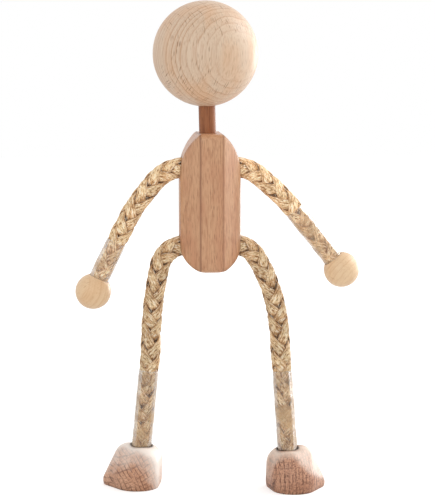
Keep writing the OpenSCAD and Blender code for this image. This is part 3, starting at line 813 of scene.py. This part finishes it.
materials = {
    "head": makeWood("beechTurnedBall"),
    "torso": makeWood("beechMilledBar"),
    "dowel": makeWood("beechDowel"),
    "hand": makeWood("birchSmallBalls"),
    "right_foot": makeWood("beechSawnBlockRight"),
    "left_foot": makeWood("beechSawnBlockLeft"),
    "rope": makeRope("braidedPlantFibre"),
    "film": makeFilm("clearShrinkFilm"),
    "wire": makeWire("galvanisedIronWire"),
}
print("materials made:", len(materials))

# Each CAD node's name holds the word that its material goes by
for name, node in nodes.items():
    word = next(word for word in materials if word in name)
    node.data.materials.clear()
    node.data.materials.append(materials[word])


def placed(limb, along):
    # A point of the limb's centreline in metres
    return (ropePoints(limb, np.array([float(along)]), np.zeros(1), np.zeros(1))[0] * mm).tolist()


for limbName, limb in limbs.items():
    # A limb is an upper and a lower stretch of rope. Each runs straight in one body, through a bend, and on
    # into the next body, and stands for the CAD's rope and wire in its bend and behind it
    root, upper, bend, lower = (f"{limb['side']}_{part}" for part in limb["parts"])
    bore, bendEnd, upperEnd, lowerBendEnd, tip = limb["ends"][1:]
    cut = (bendEnd + upperEnd) / 2
    lead = doll["bendLead"]
    stretches = (
        ("Upper", bore, cut, root, upper, bore, bendEnd, (root, upper)),
        ("Lower", cut, tip - doll["tipGap"], upper, lower,
         upperEnd - lead, lowerBendEnd + lead, (bend, lower)),
    )
    for label, start, stop, bodyA, bodyB, bendStart, bendStop, stands in stretches:
        bendStart, bendStop = placed(limb, bendStart), placed(limb, bendStop)
        rope = makeBraid(f"{limbName}{label}Braid", limb, start, stop)
        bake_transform(rope)
        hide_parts(*[f"{part}_rope" for part in stands])
        core = makeCoreWire(f"{limbName}{label}Wire", limb, start, stop)
        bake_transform(core)
        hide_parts(*[f"{part}_wire" for part in stands])
    sleeve = makeSleeve(f"{limbName}Sleeve", limb)
    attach(sleeve, lower)
    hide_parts(f"{limb['side']}_{limb['cuff']}_film")
    print("limb made:", limbName)

# The ropes' middles lie straight in the torso's bores, out of the swing of their limb's plane
middles = (("armRopeMiddle", "leftArm", "arm_rope"), ("legRopeMiddle", "leftLeg", "leg_rope"))
for name, limbName, node in middles:
    middle = makeBraid(name, dict(limbs[limbName], swing=0.0), -doll["boreEnd"], doll["boreEnd"])
    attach(middle, "torso")
    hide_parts(node)
print("rope middles made")

# The camera at the photograph's angle, for a picture of 435 x 495. Sizes in millimetres and degrees, and
# the clip distances in metres.
view = {"aim": (-0.2, 0.0, 116.0), "azimuth": -5.2, "elevation": 7.0, "distance": 1000.0,
        "focalPixels": 2090.0, "longSide": 495, "sensor": 36.0, "clip": (0.05, 20)}


def makeCamera():
    a, e = radians(view["azimuth"]), radians(view["elevation"])
    ahead = Vector((-sin(a) * cos(e), cos(a) * cos(e), -sin(e)))
    data = bpy.data.cameras.new("camera")
    data.sensor_width = view["sensor"]
    data.lens = view["sensor"] * view["focalPixels"] / view["longSide"]
    data.clip_start, data.clip_end = view["clip"]
    camera = bpy.data.objects.new("camera", data)
    camera.location = (Vector(view["aim"]) - ahead * view["distance"]) * mm
    camera.rotation_mode = "QUATERNION"
    camera.rotation_quaternion = ahead.to_track_quat("-Z", "Y")
    bpy.context.scene.collection.objects.link(camera)
    bpy.context.scene.camera = camera


# Lamps, each a square of soft light: place in metres, size in metres, watts. Four stand for one tall window
# to the picture's right and behind, split by height, so that it glances off the right edges and leaves the
# front to the room. The last is a small glint in front.
lampAim = (0, 0, 0.12)
lamps = {
    "windowHigh": {"at": (0.90, 0.30, 0.78), "size": 0.6, "power": 4.8},
    "windowBehind": {"at": (0.75, 0.85, 0.40), "size": 0.5, "power": 1.6},
    "windowRight": {"at": (1.05, 0.12, 0.16), "size": 0.5, "power": 1.5},
    "windowSill": {"at": (0.78, 0.78, 0.05), "size": 0.4, "power": 3.2},
    "frontGlint": {"at": (-0.35, -1.0, 0.45), "size": 0.12, "power": 1.0},
}


def makeLamps():
    for name, lamp in lamps.items():
        data = bpy.data.lights.new(name, "AREA")
        data.size = lamp["size"]
        data.energy = lamp["power"]
        light = bpy.data.objects.new(name, data)
        light.location = lamp["at"]
        light.rotation_mode = "QUATERNION"
        light.rotation_quaternion = (Vector(lampAim) - Vector(lamp["at"])).to_track_quat("-Z", "Y")
        bpy.context.scene.collection.objects.link(light)


# The room: the strengths of its light and its white background, and the paper floor, sizes in millimetres
room = {"light": 0.80, "background": 1.0, "paper": 0.8, "glow": 0.46, "size": 4000.0, "drop": 0.05}


def makeBackground():
    # White for the camera, mirrors and glass by the light path, and a softer grey-white for lighting
    world = bpy.data.worlds.new("paleStudio")
    bpy.context.scene.world = world
    world.use_nodes = True
    world.node_tree.nodes.clear()
    add = partial(addNode, world.node_tree)
    ray = add("ShaderNodeLightPath")
    seen = add("ShaderNodeMath", {
        0: ray.outputs["Is Camera Ray"], 1: ray.outputs["Is Glossy Ray"]}, operation="MAXIMUM")
    seen = add("ShaderNodeMath", {0: seen, 1: ray.outputs["Is Transmission Ray"]}, operation="MAXIMUM")
    soft = add("ShaderNodeBackground", {"Color": grey(1.0), "Strength": room["light"]})
    white = add("ShaderNodeBackground", {"Color": grey(1.0), "Strength": room["background"]})
    mixed = add("ShaderNodeMixShader", {0: seen, 1: soft, 2: white})
    add("ShaderNodeOutputWorld", {0: mixed})


def makeFloor():
    # White paper that the camera sees a little brighter, so that only the doll's shadow stands out
    material, add = startMaterial("whitePaperFloor")
    ray = add("ShaderNodeLightPath")
    paper = add("ShaderNodeBsdfDiffuse", {"Color": grey(room["paper"])})
    glow = add("ShaderNodeEmission", {"Color": grey(1.0), "Strength": room["glow"]})
    lifted = add("ShaderNodeAddShader", {0: paper, 1: glow})
    mixed = add("ShaderNodeMixShader", {0: ray.outputs["Is Camera Ray"], 1: paper, 2: lifted})
    add("ShaderNodeOutputMaterial", {0: mixed})
    square = np.array([[-1, -1, 0], [1, -1, 0], [1, 1, 0], [-1, 1, 0]])
    corners = square * room["size"] / 2 - np.array([0, 0, room["drop"]])
    floor = makePiece("floor", corners, [np.array([[0, 1, 2, 3]])], material)


makeCamera()
makeLamps()
makeBackground()
makeFloor()
bpy.context.scene.view_settings.view_transform = "Standard"
print("camera, lamps and room made")
